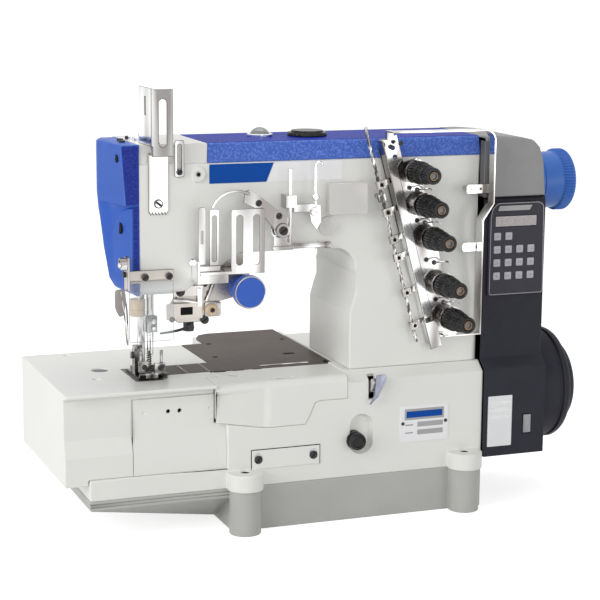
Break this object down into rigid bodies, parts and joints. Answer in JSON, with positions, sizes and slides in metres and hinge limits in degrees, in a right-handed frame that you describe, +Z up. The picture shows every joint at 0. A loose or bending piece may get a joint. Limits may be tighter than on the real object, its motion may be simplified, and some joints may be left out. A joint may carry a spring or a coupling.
{
  "type": "interlock sewing machine",
  "caption": "Flatbed interlock sewing machine head on a grey oil pan, with blue covers, built-in motor, control panel, thread tension row and a hinged looper cover.",
  "frame": {"origin": "centre of the four foot bolts on the plane the feet stand on", "axes": "+X to the handwheel, -Y to the operator, +Z up"},
  "size_m": [0.583, 0.29, 0.459],
  "materials": {
    "white_casting": "gloss enamel, pale warm grey",
    "blue_cover": "hammered blue enamel",
    "grey_pan": "satin grey enamel",
    "brown_plate": "satin dark coating",
    "steel": "satin machined steel",
    "chrome": "bright plated",
    "black_box": "fine textured black",
    "grey_cap": "satin grey",
    "panel_grey": "satin dark grey film",
    "key_grey": "satin light grey film",
    "black_knob": "moulded black",
    "blue_knob": "moulded blue",
    "belt_rubber": "toothed rubber",
    "clear_shield": "clear sheet",
    "sight_glass": "clear dome in a bright ring",
    "label_blue": "printed film, bare",
    "plate_metal": "etched plate, bare",
    "dark_cast": "machined iron"
  },
  "bodies": {
    "machine": {"base_pan": "grey_pan", "bed_frame": "white_casting", "bed_table": "white_casting", "front_cover": "white_casting", "adjust_cover": "white_casting", "needle_plate": "steel", "slide_plates": "brown_plate", "cloth_plate": "brown_plate", "nameplate": "plate_metal", "arm_labels": "label_blue", "arm_frame": "white_casting", "top_cover": "blue_cover", "face_cover": "blue_cover", "filler_cap": "black_knob", "oil_sight": "sight_glass", "motor_cover": "black_box", "cover_cap": "grey_cap", "control_panel": "panel_grey", "keypad": "key_grey", "motor_housing": "black_box", "timing_belt": "belt_rubber", "shaft_bearings": "steel", "pressure_screw": "steel", "spreader_bracket": "white_casting", "finger_guard": "steel", "guard_shield": "clear_shield", "take_up_guards": "steel", "thread_guides": "steel", "lever_bracket": "steel", "tension_plate": "steel", "tension_posts": "chrome", "tension_discs": "chrome", "tension_springs": "chrome", "guide_rods": "chrome", "strip_guard": "steel"},
    "upper_drive": {"upper_shaft": "steel", "needle_crank": "dark_cast", "upper_pulley": "dark_cast", "handwheel": "blue_knob"},
    "connecting_rod": {"crank_rod": "steel"},
    "lower_drive": {"lower_shaft": "steel", "lower_pulley": "dark_cast"},
    "needle_bar": {"needle_bar": "chrome", "needle_clamp": "steel", "needles": "chrome"},
    "presser": {"presser_bar": "chrome", "presser_foot": "chrome"},
    "spreader": {"spreader": "chrome"},
    "take_up": {"take_up_lever": "chrome"},
    "looper": {"looper": "chrome"},
    "feed": {"feed_dogs": "steel"},
    "looper_cover": {"looper_cover": "white_casting"},
    "tension_1": {"tension_knob_1": "black_knob"},
    "tension_2": {"tension_knob_2": "black_knob"},
    "tension_3": {"tension_knob_3": "black_knob"},
    "tension_4": {"tension_knob_4": "black_knob"},
    "tension_5": {"tension_knob_5": "black_knob"},
    "adjust_dial": {"adjust_dial": "blue_knob"},
    "push_button": {"push_button": "black_knob"},
    "feed_lever": {"feed_lever": "steel"}
  },
  "joints": [
    {"name": "handwheel_turn", "type": "hinge", "parent": "machine", "child": "upper_drive", "pos_m": [0, -0.042, 0.347], "axis": [1, 0, 0], "continuous": true},
    {"name": "lower_shaft_turn", "type": "hinge", "parent": "machine", "child": "lower_drive", "pos_m": [0, -0.042, 0.118], "axis": [1, 0, 0], "continuous": true},
    {"name": "rod_turn", "type": "hinge", "parent": "upper_drive", "child": "connecting_rod", "pos_m": [-0.197, -0.042, 0.362], "axis": [1, 0, 0], "continuous": true},
    {"name": "needle_stroke", "type": "slide", "parent": "machine", "child": "needle_bar", "axis": [0, 0, 1], "range_m": [-0.03, 0]},
    {"name": "presser_lift", "type": "slide", "parent": "machine", "child": "presser", "axis": [0, 0, 1], "range_m": [0, 0.008], "stiffness_N_per_m": 1500, "springref_m": -0.006},
    {"name": "spreader_swing", "type": "hinge", "parent": "machine", "child": "spreader", "pos_m": [-0.172, -0.066, 0.23], "axis": [0, 0, 1], "range_deg": [0, 36]},
    {"name": "take_up_swing", "type": "hinge", "parent": "machine", "child": "take_up", "pos_m": [-0.083, -0.083, 0.313], "axis": [0, 1, 0], "range_deg": [-26, 0]},
    {"name": "looper_swing", "type": "hinge", "parent": "machine", "child": "looper", "pos_m": [-0.196, -0.042, 0.088], "axis": [0, 1, 0], "range_deg": [0, 16]},
    {"name": "feed_move", "type": "slide", "parent": "machine", "child": "feed", "axis": [0, 1, 0], "range_m": [-0.0015, 0.0015]},
    {"name": "looper_cover_open", "type": "hinge", "parent": "machine", "child": "looper_cover", "pos_m": [-0.08, -0.107, 0.11], "axis": [1, 0, 0], "range_deg": [0, 80]},
    {"name": "tension_turn_1", "type": "hinge", "parent": "machine", "child": "tension_1", "pos_m": [0.065, -0.13, 0.368], "axis": [0, 1, 0], "range_deg": [-540, 540]},
    {"name": "tension_turn_2", "type": "hinge", "parent": "machine", "child": "tension_2", "pos_m": [0.07463, -0.13, 0.33279], "axis": [0, 1, 0], "range_deg": [-540, 540]},
    {"name": "tension_turn_3", "type": "hinge", "parent": "machine", "child": "tension_3", "pos_m": [0.08426, -0.13, 0.29759], "axis": [0, 1, 0], "range_deg": [-540, 540]},
    {"name": "tension_turn_4", "type": "hinge", "parent": "machine", "child": "tension_4", "pos_m": [0.09798, -0.13, 0.24743], "axis": [0, 1, 0], "range_deg": [-540, 540]},
    {"name": "tension_turn_5", "type": "hinge", "parent": "machine", "child": "tension_5", "pos_m": [0.10814, -0.13, 0.2103], "axis": [0, 1, 0], "range_deg": [-540, 540]},
    {"name": "dial_turn", "type": "hinge", "parent": "machine", "child": "adjust_dial", "pos_m": [-0.121, -0.09, 0.253], "axis": [0, 1, 0], "range_deg": [-170, 170]},
    {"name": "button_press", "type": "slide", "parent": "machine", "child": "push_button", "axis": [0, 1, 0], "range_m": [0, 0.004], "stiffness_N_per_m": 400, "springref_m": -0.002},
    {"name": "feed_lever_tilt", "type": "hinge", "parent": "machine", "child": "feed_lever", "pos_m": [0.0185, -0.088, 0.136], "axis": [1, 0, 0], "range_deg": [-12, 12]}
  ],
  "couplings": [
    {"joint": "lower_shaft_turn", "follows": "handwheel_turn", "ratio": 1},
    {"joint": "rod_turn", "follows": "handwheel_turn", "ratio": -1},
    {"joint": "take_up_swing", "follows": "needle_stroke", "rad_per_m": 15.076},
    {"joint": "looper_swing", "follows": "needle_stroke", "rad_per_m": -9.258},
    {"joint": "spreader_swing", "follows": "needle_stroke", "rad_per_m": -20.894}
  ]
}
